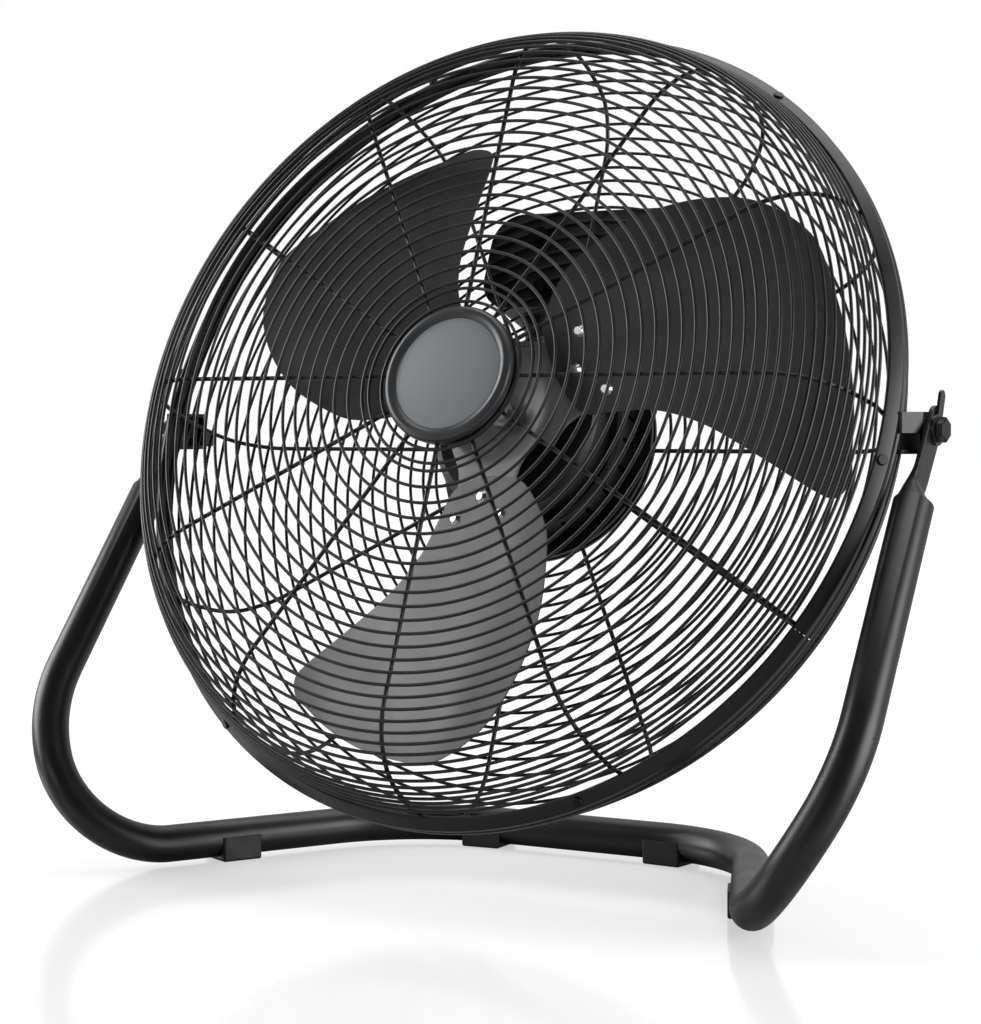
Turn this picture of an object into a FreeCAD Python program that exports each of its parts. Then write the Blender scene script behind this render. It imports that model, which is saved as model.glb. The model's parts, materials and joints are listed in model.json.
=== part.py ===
import FreeCAD, Part
import math
import os

# Tilting drum fan on a low stand of bent tube. Millimetres, +Z up, front towards -Y.
# The head is drawn in its own frame: local Z is the fan axis with the front at +Z,
# local X is the stand's X, local Y points up the face. place_head() tips it into the stand.

Vector = FreeCAD.Vector
X_AXIS = Vector(1, 0, 0)
Y_AXIS = Vector(0, 1, 0)
Z_AXIS = Vector(0, 0, 1)

# Pivot and resting tilt
PIVOT_HEIGHT = 283.8
PIVOT_Y = 4.182
TILT = 21.2

# Stand tube
TUBE_RADIUS = 12.0
TUBE_WALL = 1.5
TUBE_CORNERS = [(0, 74, 13.9), (128, 74, 13.9), (236.7, -158.6, 13.9), (284.4, -134.4, 99.9)]
TUBE_TOP = (278.6, 0, 283.8)
TUBE_BENDS = [104, 65.5, 107]
SHOULDER = 53.0
TAB_START = 40.0
TAB_INNER = 278.0
TAB_THICK = 3.5
TAB_RADIUS = 9.5
TAB_CROWN = 5.9
JOINER_HALF = 40.0
JOINER_WALL = 1.6
FOOT_LENGTH = 28.0
FOOT_WIDTH = 27.0
FOOT_HEIGHT = 16.0
FOOT_X = (70.0, 188.4)

# Pivot clamp
BOLT_RADIUS = 3.95
BOLT_HOLE = 4.0
BOLT_INNER = 266.8
LEVER_INNER = 281.55
LEVER_THICK = 1.75
LEVER_HUB = 9.3
LEVER_TIP = {"left": 5.2, "right": 3.6}
LEVER_REACH = {"left": 40.0, "right": 21.0}
LEVER_TURN = {"left": -101.0, "right": -20.0}
BOLT_HEAD_FLATS = 13.0
BOLT_HEAD_THICK = 5.4
WEB_OUTER = 277.0
WEB_THICK = 2.5
WASHER_RADIUS = 9.5
BRACKET_HALF = 12.3
BRACKET_CENTRE = -1.8
BRACKET_REAR = -13.0
BRACKET_FRONT = 25.0
BRACKET_STEP = 8.0
BRACKET_NOSE = (269.4, 22.0)

# Hoop
HOOP_OUTER = 268.2
HOOP_SHEET = 1.2
HOOP_SLOPE_Z = 26.3
HOOP_FRONT = (262.4, 32.4)
HOOP_REAR = (264.6, 13.2)
HOOP_BACK_Z = 16.8
HOOP_SEAM_ANGLE = 329.5
HOOP_SEAM_GAP = 1.6
HOOP_SCREW_START = 53.5
HOOP_SCREWS = 6

# Grilles
RING_WIRE = 1.05
RIB_WIRE = 1.4
RIB_COUNT = 12
RING_OFFSET = RING_WIRE + RIB_WIRE + 0.01
WIRE_SIDES = 8
FACE_Z = 93.0
FACE_RADIUS = 204.0
SHOULDER_RADIUS = 54.0
SHOULDER_TURN = 72.0
CONE_END_Z = 38.0
INNER_RINGS = (49.0, 58.0)
GRADED_START = 63.0
GRADED_STEP = 10.3
GRADED_SHRINK = 0.196
RIM_RING = (260.85, 29.5)
RIB_TAIL_RADIUS = 258.4
RIB_TAIL_Z = 24.5
REAR_RIM_RING = (261.95, 19.5)
REAR_RIB = [(259.5, 22.5), (258.6, 8), (254.0, -12), (246.5, -27.5), (222, -38), (72, -38)]
REAR_BENDS = [40, 40, 30, 45]
REAR_STEP = 10.0
REAR_FIRST = 10.0
REAR_SPLIT_Z = -37.0

# Badge
BADGE_RADIUS = 45.0
BADGE_DISC_RADIUS = 36.6
BADGE_FRONT = 98.4
CENTRE_PLATE_RADIUS = 44.0
CENTRE_PLATE_THICK = 2.0

# Rotor
SHAFT_RADIUS = 5.0
SHAFT_FRONT = 29.0
SHAFT_REAR = -33.0
BLADE_COUNT = 3
BLADE_ANGLE = 30.0
BLADE_Z = 30.0
BLADE_SLOPE = 0.3
BLADE_SHEET = 1.2
BLADE_TIP = 228.0
BLADE_LEADING = [(44, -4), (45, 14), (52, 36), (78, 58), (105, 65), (140, 66), (177, 56), (208, 36)]
BLADE_TIP_ANGLES = (0.5, -8, -17, -26, -33)
BLADE_TRAILING = [(183, -138), (170, -143), (160, -133), (141, -103), (117, -68), (93, -46), (69, -35), (50, -26)]
ARM_SHEET = 2.5
ARM_HALF = 25.0
ARM_END = 60.0
ARM_START = 30.0
HUB_RADIUS = 34.0
HUB_FLOOR = 16.0
HUB_FRONT = 20.0
RIVET_SPOTS = [(57, 0), (70, 20), (70, -20)]
RIVET_RADIUS = 2.4
RIVET_HEAD = 4.2

# Motor
COVER_RADIUS = 59.0
COVER_FRONT = 13.0
COVER_REAR = -12.0
CAN_RADIUS = 66.0
CAN_FRONT = -10.0
SHELL = 2.0
FLANGE_RADIUS = 76.5
FLANGE_THICK = 2.5
FLANGE_FRONT = -38 + RIB_WIRE + FLANGE_THICK
VENT_COUNT = 24
BOSS_RADIUS = 14.0
BEARING_RADIUS = 11.0
BEARING_GAP = 0.03
STATOR_BORE = 33.0
STATOR_Z = (-24.0, -2.0)
ROTOR_CORE_RADIUS = 32.6
FLANGE_SCREWS = 8
FLANGE_SCREW_CIRCLE = 71.3
FLANGE_SCREW_START = 7.5

# Control box
BOX_HALF_WIDTH = 80.0
BOX_CENTRE = 140.0
BOX_HALF_HEIGHT = 35.0
BOX_CORNER = 22.0
BOX_WALL = 2.5
BOX_FRONT = -38 - RIB_WIRE - 2 * RING_WIRE
BOX_DEPTH = 44.0
COVER_THICK = 3.0
KNOB_RADIUS = 19.0
KNOB_DEPTH = 15.0
KNOB_X = 40.0
SPINDLE_RADIUS = 3.0
GLAND_X = -45.0

os.makedirs("parts", exist_ok=True)


def export(name, shape):
    shape.exportStep("parts/" + name + ".step")


def rounded_path(points, radii):
    # wire through the points with an arc of the given radius at each inner corner
    points = [Vector(*p) for p in points]
    edges = []
    start = points[0]
    for i, radius in enumerate(radii):
        corner = points[i + 1]
        incoming = (corner - points[i]).normalize()
        outgoing = (points[i + 2] - corner).normalize()
        half_turn = incoming.getAngle(outgoing) / 2
        reach = radius * math.tan(half_turn)
        first = corner - incoming * reach
        last = corner + outgoing * reach
        inward = (outgoing - incoming).normalize()
        middle = corner + inward * (radius / math.cos(half_turn) - radius)
        edges.append(Part.LineSegment(start, first).toShape())
        edges.append(Part.Arc(first, middle, last).toShape())
        start = last
    edges.append(Part.LineSegment(start, points[-1]).toShape())
    return Part.Wire(edges)


def swept(path, radius):
    # round bar of the given radius along a wire
    first = path.Edges[0]
    circle = Part.makeCircle(radius, first.valueAt(first.FirstParameter), first.tangentAt(first.FirstParameter))
    return path.makePipeShell([Part.Wire([circle])], True, True)


def wire_corners(radius, lean):
    # corners of the eight-sided section of a wire, one flat facing the direction lean (radians)
    reach = radius / math.cos(math.pi / WIRE_SIDES)
    angles = [lean + (k + 0.5) * 2 * math.pi / WIRE_SIDES for k in range(WIRE_SIDES)]
    return [(reach * math.cos(a), reach * math.sin(a)) for a in angles]


def wire_ring(radius, z, lean=0.0):
    return revolved([(radius + r, z + h) for r, h in wire_corners(RING_WIRE, lean)])


def wire_rib(path):
    # eight-sided bar along a path that lies in the local XZ plane
    start = path.Edges[0].valueAt(path.Edges[0].FirstParameter)
    along = path.Edges[0].tangentAt(path.Edges[0].FirstParameter)
    side = along.cross(Y_AXIS)
    corners = [start + side * a + Y_AXIS * b for a, b in wire_corners(RIB_WIRE, 0.0)]
    section = Part.makePolygon(corners + [corners[0]])
    return path.makePipeShell([section], True, False)


def revolved(outline):
    # solid of revolution about local Z from (radius, z) points
    points = [Vector(r, 0, z) for r, z in outline]
    face = Part.Face(Part.makePolygon(points + [points[0]]))
    return face.revolve(Vector(0, 0, 0), Z_AXIS, 360)


def disc(radius, low, high, bore=0.0):
    body = Part.makeCylinder(radius, high - low, Vector(0, 0, low))
    if bore > 0:
        body = body.cut(Part.makeCylinder(bore, high - low + 2, Vector(0, 0, low - 1)))
    return body


def hexagon(flats, low, high):
    radius = flats / math.sqrt(3)
    points = [Vector(radius * math.cos(k * math.pi / 3), radius * math.sin(k * math.pi / 3), low) for k in range(7)]
    return Part.Face(Part.makePolygon(points)).extrude(Vector(0, 0, high - low))


def rounded_plate(half_width, half_height, corner, low, high):
    body = Part.makeBox(2 * half_width, 2 * half_height, high - low, Vector(-half_width, -half_height, low))
    upright = [e for e in body.Edges if abs(e.tangentAt(e.FirstParameter).z) > 0.9]
    return body.makeFillet(corner, upright)


def around(shape, count, start=0.0):
    # copies of a shape at equal angles about local Z
    copies = []
    for k in range(count):
        copy = shape.copy()
        copy.rotate(Vector(0, 0, 0), Z_AXIS, start + k * 360.0 / count)
        copies.append(copy)
    return copies


def place_head(shape):
    shape.rotate(Vector(0, 0, 0), X_AXIS, 90 - TILT)
    shape.translate(Vector(0, PIVOT_Y, PIVOT_HEIGHT))
    return shape


def export_head(name, shapes):
    if not isinstance(shapes, list):
        shapes = [shapes]
    export(name, place_head(Part.makeCompound([s.copy() for s in shapes])) if len(shapes) > 1
           else place_head(shapes[0].copy()))


def place_stand(shape):
    shape.translate(Vector(0, PIVOT_Y, 0))
    return shape


def mirrored(shape):
    return shape.mirror(Vector(0, 0, 0), X_AXIS)


def across_x(shape, inner_x):
    # turn a shape drawn along local Z so that it points along +X from inner_x
    shape.rotate(Vector(0, 0, 0), Y_AXIS, 90)
    shape.translate(Vector(inner_x, 0, 0))
    return shape


# Stand tube, right half: bar, leg, front bend, arm, flattened tab
top = Vector(*TUBE_TOP)
arm_direction = (top - Vector(*TUBE_CORNERS[-1])).normalize()
tube_end = top - arm_direction * SHOULDER
tube_path = rounded_path(TUBE_CORNERS + [tuple(tube_end)], TUBE_BENDS)
tube_outside = swept(tube_path, TUBE_RADIUS)
tube_inside = swept(tube_path, TUBE_RADIUS - TUBE_WALL)

pivot = Vector(0, 0, PIVOT_HEIGHT)
upright_direction = Vector(0, arm_direction.y, arm_direction.z).normalize()
tab_side = X_AXIS.cross(upright_direction)
tab_middle = Vector(TAB_INNER + TAB_THICK / 2, 0, PIVOT_HEIGHT)
round_end = Part.Wire([Part.makeCircle(TUBE_RADIUS, tube_end, arm_direction)])
flat_centre = tab_middle - upright_direction * TAB_START
flat_end = Part.Ellipse(flat_centre + tab_side * TAB_RADIUS, flat_centre + X_AXIS * (TAB_THICK / 2), flat_centre)
flattened = Part.makeLoft([round_end, Part.Wire([flat_end.toShape()])], True, True)
tab_length = TAB_START + 1.0
tab_plate = Part.makeBox(TAB_THICK, 2 * TAB_RADIUS, tab_length + TAB_CROWN,
                         Vector(TAB_INNER, -TAB_RADIUS, -tab_length))
lean = math.degrees(math.atan2(upright_direction.y, upright_direction.z))
tab_plate.rotate(Vector(0, 0, 0), X_AXIS, -lean)
tab_plate.translate(pivot)
tab_round = Part.makeCylinder(TAB_RADIUS, TAB_THICK, Vector(TAB_INNER, 0, PIVOT_HEIGHT) + upright_direction * TAB_CROWN,
                              X_AXIS)
tab_hole = Part.makeCylinder(BOLT_HOLE, 20, Vector(TAB_INNER - 8, 0, PIVOT_HEIGHT), X_AXIS)
tube_right = tube_outside.cut(tube_inside).fuse([flattened, tab_plate, tab_round]).cut(tab_hole)
export("stand_tube_right", place_stand(tube_right.copy()))
export("stand_tube_left", place_stand(mirrored(tube_right)))

joiner = disc(TUBE_RADIUS - TUBE_WALL, -JOINER_HALF, JOINER_HALF, TUBE_RADIUS - TUBE_WALL - JOINER_WALL)
joiner = across_x(joiner, 0)
joiner.translate(Vector(0, TUBE_CORNERS[0][1], TUBE_CORNERS[0][2]))
export("stand_joiner", place_stand(joiner))

# Clip feet, two under the rear bar and one under each leg
samples = tube_path.discretize(600)
feet = []
for foot_x in FOOT_X:
    index = min(range(1, 300), key=lambda i: abs(samples[i].x - foot_x))
    centre = samples[index]
    along = samples[index + 1] - samples[index - 1]
    foot = Part.makeBox(FOOT_LENGTH, FOOT_WIDTH, FOOT_HEIGHT, Vector(-FOOT_LENGTH / 2, -FOOT_WIDTH / 2, 0))
    foot = foot.makeFillet(1.6, [e for e in foot.Edges if e.CenterOfMass.z < FOOT_HEIGHT - 0.1])
    foot.rotate(Vector(0, 0, 0), Z_AXIS, math.degrees(math.atan2(along.y, along.x)))
    foot.translate(Vector(centre.x, centre.y, 0))
    foot = foot.cut(tube_outside)
    feet.append(foot)
    feet.append(mirrored(foot))
export("clip_feet", place_stand(Part.makeCompound(feet)))

# Pivot clamps: lever and bolt turn together, washer and nut stay with the head
bolt = disc(BOLT_RADIUS, BOLT_INNER, LEVER_INNER + LEVER_THICK)
bolt_head = hexagon(BOLT_HEAD_FLATS, LEVER_INNER + LEVER_THICK, LEVER_INNER + LEVER_THICK + BOLT_HEAD_THICK)
bolt = across_x(bolt.fuse(bolt_head.makeChamfer(0.8, [e for e in bolt_head.Edges if e.CenterOfMass.z >
                LEVER_INNER + LEVER_THICK + BOLT_HEAD_THICK - 0.1])), 0)
lever_hub = Part.makeCylinder(LEVER_HUB, LEVER_THICK, Vector(LEVER_INNER, 0, 0), X_AXIS)
lever_hole = Part.makeCylinder(BOLT_RADIUS, 20, Vector(LEVER_INNER - 8, 0, 0), X_AXIS)
for side, turn in LEVER_TURN.items():
    reach = LEVER_REACH[side]
    half_width = LEVER_TIP[side]
    lever_tip = Part.makeCylinder(half_width, LEVER_THICK, Vector(LEVER_INNER, 0, reach), X_AXIS)
    lever_arm = Part.makeBox(LEVER_THICK, 2 * half_width, reach, Vector(LEVER_INNER, -half_width, 0))
    side_lever = lever_hub.fuse([lever_tip, lever_arm]).removeSplitter().cut(lever_hole)
    side_lever.rotate(Vector(0, 0, 0), X_AXIS, turn)
    side_bolt = bolt.copy()
    for name, piece in (("clamp_bolt_", side_bolt), ("clamp_lever_", side_lever)):
        piece = mirrored(piece) if side == "left" else piece
        piece.translate(Vector(0, 0, PIVOT_HEIGHT))
        export(name + side, place_stand(piece))

washer = across_x(disc(WASHER_RADIUS, WEB_OUTER, TAB_INNER - 0.05, BOLT_HOLE + 0.2), 0)
nut = across_x(hexagon(BOLT_HEAD_FLATS, WEB_OUTER - WEB_THICK - 6.5, WEB_OUTER - WEB_THICK), 0)
nut = nut.cut(Part.makeCylinder(BOLT_HOLE, 20, Vector(WEB_OUTER - WEB_THICK - 10, 0, 0), X_AXIS))
export_head("friction_washers", [washer, mirrored(washer)])
export_head("weld_nuts", [nut, mirrored(nut)])

# Pivot brackets: folded boxes welded to the hoop, level at the rest tilt, with a blind pocket in the lower nose
def bracket_block(margin):
    half = BRACKET_HALF - margin
    corners = [(240, BRACKET_REAR + margin), (WEB_OUTER - margin, BRACKET_REAR + margin),
               (WEB_OUTER - margin, BRACKET_STEP), (BRACKET_NOSE[0] - margin, BRACKET_NOSE[1]),
               (BRACKET_NOSE[0] - margin, BRACKET_FRONT - margin), (240, BRACKET_FRONT - margin)]
    outline = Part.makePolygon([Vector(x, BRACKET_CENTRE - half, z) for x, z in corners + corners[:1]])
    return Part.Face(outline).extrude(Vector(0, 2 * half, 0))


bracket = bracket_block(0.0)
upright = [e for e in bracket.Edges
           if e.Length < 40 and abs(e.CenterOfMass.y - BRACKET_CENTRE) < 0.1 and e.CenterOfMass.x > 270]
bracket = bracket.makeFillet(2.4, upright)
pocket_height = BRACKET_HALF - WEB_THICK
pocket = Part.makeBox(60, pocket_height, 40, Vector(240, BRACKET_CENTRE - pocket_height, BRACKET_STEP + WEB_THICK))
nose_wall = Part.makeBox(60, BRACKET_HALF, 40, Vector(240, BRACKET_CENTRE - BRACKET_HALF, BRACKET_STEP))
channel = bracket_block(WEB_THICK).cut(nose_wall)
bracket = bracket.cut([channel, pocket])
bracket.rotate(Vector(0, 0, 0), X_AXIS, TILT)
hoop_space = disc(HOOP_OUTER, HOOP_BACK_Z, 60)
hoop_space = hoop_space.fuse(disc(HOOP_REAR[0], -60, HOOP_REAR[1]))
hoop_space = hoop_space.fuse(Part.makeCone(HOOP_REAR[0], HOOP_OUTER, HOOP_BACK_Z - HOOP_REAR[1],
                                           Vector(0, 0, HOOP_REAR[1])))
web_hole = Part.makeCylinder(BOLT_HOLE, 40, Vector(250, 0, 0), X_AXIS)
bracket = bracket.cut([hoop_space, web_hole])
export_head("pivot_bracket_right", bracket)
export_head("pivot_bracket_left", mirrored(bracket))

# Hoop: rolled band with sloped lips, a groove round the middle and a butt seam
hoop_outside = [HOOP_FRONT, (HOOP_OUTER, HOOP_SLOPE_Z), (HOOP_OUTER, 23.2), (HOOP_OUTER - 1, 22.2),
                (HOOP_OUTER - 1, 20.8), (HOOP_OUTER, 19.8), (HOOP_OUTER, HOOP_BACK_Z), HOOP_REAR]
hoop_inside = [(r - HOOP_SHEET, z) for r, z in reversed(hoop_outside)]
hoop = revolved(hoop_outside + hoop_inside)
seam = Part.makeBox(30, HOOP_SEAM_GAP, 60, Vector(HOOP_OUTER - 20, -HOOP_SEAM_GAP / 2, -10))
seam.rotate(Vector(0, 0, 0), Z_AXIS, HOOP_SEAM_ANGLE)
hoop = hoop.cut(seam)
slope_r = (HOOP_FRONT[0] + HOOP_OUTER) / 2
slope_z = (HOOP_FRONT[1] + HOOP_SLOPE_Z) / 2
slope_normal = Vector(HOOP_FRONT[1] - HOOP_SLOPE_Z, 0, HOOP_OUTER - HOOP_FRONT[0]).normalize()
slope_point = Vector(slope_r, 0, slope_z)
screw_head = Part.makeCylinder(3.2, 1.4, slope_point, slope_normal)
screw_head = screw_head.makeFillet(0.6, [screw_head.Edges[0]])
screw_shank = Part.makeCylinder(1.5, 4.0, slope_point - slope_normal * 4.0, slope_normal)
hoop_screws = around(screw_head.fuse(screw_shank), HOOP_SCREWS, HOOP_SCREW_START)
hoop_holes = around(Part.makeCylinder(1.5, 8.0, slope_point - slope_normal * 4.0, slope_normal),
                    HOOP_SCREWS, HOOP_SCREW_START)
export_head("hoop", hoop.cut(hoop_holes))
export_head("hoop_screws", hoop_screws)


# Front grille: flat face, rolled shoulder, straight cone into the hoop
def front_profile(distance):
    # (radius, z, turn) of the ring centres, measured from the fan axis along the profile
    turn = math.radians(SHOULDER_TURN)
    arc_length = SHOULDER_RADIUS * turn
    if distance <= FACE_RADIUS:
        return distance, FACE_Z, 0.0
    if distance <= FACE_RADIUS + arc_length:
        angle = (distance - FACE_RADIUS) / SHOULDER_RADIUS
        radius = FACE_RADIUS + SHOULDER_RADIUS * math.sin(angle)
        return radius, FACE_Z - SHOULDER_RADIUS * (1 - math.cos(angle)), angle
    run = distance - FACE_RADIUS - arc_length
    radius = FACE_RADIUS + SHOULDER_RADIUS * math.sin(turn) + run * math.cos(turn)
    return radius, FACE_Z - SHOULDER_RADIUS * (1 - math.cos(turn)) - run * math.sin(turn), turn


face_rings = [wire_ring(r, FACE_Z) for r in INNER_RINGS]
side_rings = []
distance = GRADED_START
step = GRADED_STEP
while front_profile(distance)[1] > CONE_END_Z:
    ring_radius, ring_z, ring_turn = front_profile(distance)
    group = face_rings if ring_radius < FACE_RADIUS else side_rings
    group.append(wire_ring(ring_radius, ring_z, -ring_turn))
    distance += step
    step -= GRADED_SHRINK
side_rings.append(wire_ring(RIM_RING[0], RIM_RING[1]))
export_head("front_face_rings", face_rings)
export_head("front_side_rings", side_rings)

turn = math.radians(SHOULDER_TURN)
rib_z = FACE_Z - RING_OFFSET
rib_bend = SHOULDER_RADIUS - RING_OFFSET
corner_radius = FACE_RADIUS + rib_bend * math.tan(turn / 2)
tail_z = rib_z - (RIB_TAIL_RADIUS - corner_radius) * math.tan(turn)
rib_points = [(40, 0, rib_z), (corner_radius, 0, rib_z), (RIB_TAIL_RADIUS, 0, tail_z),
              (RIB_TAIL_RADIUS, 0, RIB_TAIL_Z)]
front_rib = wire_rib(rounded_path(rib_points, [rib_bend, 6.0]))
export_head("front_grille_ribs", around(front_rib, RIB_COUNT))

# Rear grille: axial skirt, rolled shoulder, flat back
rear_path = rounded_path([(r, 0, z) for r, z in REAR_RIB], REAR_BENDS)
export_head("rear_grille_ribs", around(wire_rib(rear_path), RIB_COUNT))
rear_points = rear_path.discretize(Distance=0.5)
skirt_rings = [wire_ring(REAR_RIM_RING[0], REAR_RIM_RING[1])]
back_rings = []
rear_radii = []
travelled = 0.0
next_ring = None
for before, point in zip(rear_points, rear_points[1:]):
    travelled += (point - before).Length
    if next_ring is None and point.z <= REAR_FIRST:
        next_ring = travelled
    if next_ring is not None and travelled >= next_ring and point.x > FLANGE_RADIUS + 4:
        tangent = (point - before).normalize()
        outward = Vector(-tangent.z, 0, tangent.x)
        centre = point + outward * RING_OFFSET
        group = skirt_rings if centre.z > REAR_SPLIT_Z else back_rings
        group.append(wire_ring(centre.x, centre.z, math.atan2(outward.z, outward.x)))
        rear_radii.append(centre.x)
        next_ring += REAR_STEP
export_head("rear_skirt_rings", skirt_rings)
export_head("rear_back_rings", back_rings)

# Badge and the plate behind it, with the ribs held between them
badge_back = rib_z + RIB_WIRE
badge_ring = revolved([(BADGE_DISC_RADIUS, badge_back), (BADGE_RADIUS, badge_back), (BADGE_RADIUS, 94.5),
                       (44.2, 96.6), (42.4, 98.0), (40.8, BADGE_FRONT), (39.2, 98.0), (37.6, 97.0),
                       (BADGE_DISC_RADIUS, 96.2)])
badge_disc = disc(BADGE_DISC_RADIUS, badge_back, 96.0)
plate_front = rib_z - RIB_WIRE
centre_plate = disc(CENTRE_PLATE_RADIUS, plate_front - CENTRE_PLATE_THICK, plate_front)
badge_screw_hole = disc(1.6, 80, 94.5)
badge_screw = disc(1.6, plate_front - CENTRE_PLATE_THICK, 94.5)
badge_screw = badge_screw.fuse(disc(3.4, plate_front - CENTRE_PLATE_THICK - 1.8, plate_front - CENTRE_PLATE_THICK))
export_head("badge_ring", badge_ring)
export_head("badge_disc", badge_disc.cut(badge_screw_hole))
export_head("grille_centre_plate", centre_plate.cut(badge_screw_hole))
export_head("badge_screw", badge_screw)


# Rotor: blades and spider arms lie on planes pitched about their radial line
def pitched_slab(low, high, length, half_width):
    slab = Part.makeBox(length, 2 * half_width, high - low, Vector(0, -half_width, low))
    slab.rotate(Vector(0, 0, 0), X_AXIS, math.degrees(math.atan(BLADE_SLOPE)))
    slab.translate(Vector(0, 0, BLADE_Z))
    return slab


def pitched_point(x, y):
    return Vector(x, y, BLADE_Z + BLADE_SLOPE * y)


pitch = math.atan(BLADE_SLOPE)
pitch_normal = Vector(0, -math.sin(pitch), math.cos(pitch))
half_sheet = BLADE_SHEET / 2
outline = [Vector(x, y, -60) for x, y in BLADE_LEADING]
outline += [Vector(BLADE_TIP * math.cos(math.radians(a)), BLADE_TIP * math.sin(math.radians(a)), -60)
            for a in BLADE_TIP_ANGLES]
outline += [Vector(x, y, -60) for x, y in BLADE_TRAILING]
outline_curve = Part.BSplineCurve()
outline_curve.interpolate(outline, PeriodicFlag=True)
blade_prism = Part.Face(Part.Wire([outline_curve.toShape()])).extrude(Vector(0, 0, 160))
blade = blade_prism.common(pitched_slab(-half_sheet, half_sheet, 300, 200))
rivet_holes = []
rivets = []
for x, y in RIVET_SPOTS:
    seat = pitched_point(x, y)
    front = seat + pitch_normal * half_sheet
    back = seat - pitch_normal * (half_sheet + ARM_SHEET)
    rivet_holes.append(Part.makeCylinder(RIVET_RADIUS, 20, seat - pitch_normal * 10, pitch_normal))
    rivet = Part.makeCylinder(RIVET_RADIUS, (front - back).Length, back, pitch_normal)
    rivet_dome = Part.makeCone(RIVET_HEAD, RIVET_HEAD * 0.6, 2.0, front, pitch_normal)
    rivet_tail = Part.makeCone(RIVET_HEAD * 0.9, RIVET_HEAD * 0.6, 1.6, back, pitch_normal * -1)
    rivets.append(rivet.fuse([rivet_dome, rivet_tail]))
blade = blade.cut(rivet_holes)
for k, copy in enumerate(around(blade, BLADE_COUNT, BLADE_ANGLE)):
    export_head("blade_" + str(k + 1), copy)
blade_rivets = []
for rivet in rivets:
    blade_rivets += around(rivet, BLADE_COUNT, BLADE_ANGLE)
export_head("blade_rivets", blade_rivets)

arm_outline = disc(ARM_HALF, -60, 100)
arm_outline.translate(Vector(ARM_END, 0, 0))
arm_length = ARM_END - ARM_START
arm_outline = arm_outline.fuse(Part.makeBox(arm_length, 2 * ARM_HALF, 160, Vector(ARM_START, -ARM_HALF, -60)))
arm = arm_outline.common(pitched_slab(-half_sheet - ARM_SHEET, -half_sheet, 120, 60)).cut(rivet_holes)
hub_rim = BLADE_Z - half_sheet
hub = revolved([(SHAFT_RADIUS, HUB_FRONT - ARM_SHEET), (HUB_FLOOR, HUB_FRONT - ARM_SHEET),
                (HUB_RADIUS, hub_rim - ARM_SHEET), (HUB_RADIUS + 8, hub_rim - ARM_SHEET),
                (HUB_RADIUS + 8, hub_rim), (HUB_RADIUS, hub_rim), (HUB_FLOOR, HUB_FRONT), (SHAFT_RADIUS, HUB_FRONT)])
export_head("hub_spider", hub.fuse(around(arm, BLADE_COUNT, BLADE_ANGLE)))
export_head("shaft", disc(SHAFT_RADIUS, SHAFT_REAR, SHAFT_FRONT))
hub_nut = hexagon(15.0, HUB_FRONT, HUB_FRONT + 6.0)
export_head("hub_nut", hub_nut.cut(disc(SHAFT_RADIUS, 0, 100)))
export_head("rotor_core", disc(ROTOR_CORE_RADIUS, STATOR_Z[0], STATOR_Z[1], SHAFT_RADIUS))

# Motor: front cover, rear can with its flange, stator, windings and bearings
inner_cover = COVER_RADIUS - SHELL
motor_front = revolved([(BEARING_RADIUS, 16), (BOSS_RADIUS + 4, 16), (BOSS_RADIUS + 6, COVER_FRONT),
                        (COVER_RADIUS - 6, COVER_FRONT), (COVER_RADIUS - 1.8, COVER_FRONT - 1.8),
                        (COVER_RADIUS, COVER_FRONT - 6), (COVER_RADIUS, COVER_REAR), (inner_cover, COVER_REAR),
                        (inner_cover, COVER_FRONT - 5), (inner_cover - 4, COVER_FRONT - SHELL),
                        (BOSS_RADIUS, COVER_FRONT - SHELL), (BOSS_RADIUS, 8), (BEARING_RADIUS, 8)])
flange_back = FLANGE_FRONT - FLANGE_THICK
can_back = FLANGE_FRONT
motor_rear = revolved([(COVER_RADIUS, CAN_FRONT), (CAN_RADIUS - 2, CAN_FRONT), (CAN_RADIUS, CAN_FRONT - 2),
                       (CAN_RADIUS, FLANGE_FRONT), (FLANGE_RADIUS, FLANGE_FRONT), (FLANGE_RADIUS, flange_back),
                       (0, flange_back), (0, can_back), (BEARING_RADIUS, can_back), (BEARING_RADIUS, can_back + 8),
                       (BOSS_RADIUS, can_back + 8), (BOSS_RADIUS, can_back), (CAN_RADIUS - SHELL, can_back),
                       (CAN_RADIUS - SHELL, COVER_REAR), (COVER_RADIUS, COVER_REAR)])
vent = Part.makeBox(8, 3.2, 14, Vector(CAN_RADIUS - 5, -1.6, FLANGE_FRONT + 4))
motor_rear = motor_rear.cut(around(vent, VENT_COUNT))
back_plate_front = -38 - RIB_WIRE
back_plate_back = back_plate_front - 2.0
screw_spot = Vector(FLANGE_SCREW_CIRCLE, 0, 0)
flange_hole = Part.makeCylinder(2.0, 30, screw_spot + Vector(0, 0, -50))
flange_screw = Part.makeCylinder(2.0, FLANGE_FRONT - back_plate_back, screw_spot + Vector(0, 0, back_plate_back))
flange_screw = flange_screw.fuse(Part.makeCylinder(3.6, 2.2, screw_spot + Vector(0, 0, FLANGE_FRONT)))
flange_holes = around(flange_hole, FLANGE_SCREWS, FLANGE_SCREW_START)
export_head("motor_front_cover", motor_front)
export_head("motor_rear_cover", motor_rear.cut(flange_holes))
export_head("motor_back_plate", disc(FLANGE_RADIUS, back_plate_back, back_plate_front, 30).cut(flange_holes))
export_head("motor_screws", around(flange_screw, FLANGE_SCREWS, FLANGE_SCREW_START))
front_bearing = disc(BEARING_RADIUS, 8, 16, SHAFT_RADIUS + BEARING_GAP)
rear_bearing = disc(BEARING_RADIUS, can_back, can_back + 8, SHAFT_RADIUS + BEARING_GAP)
export_head("bearings", [front_bearing, rear_bearing])
export_head("stator_core", disc(inner_cover, STATOR_Z[0], STATOR_Z[1], STATOR_BORE))
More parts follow.
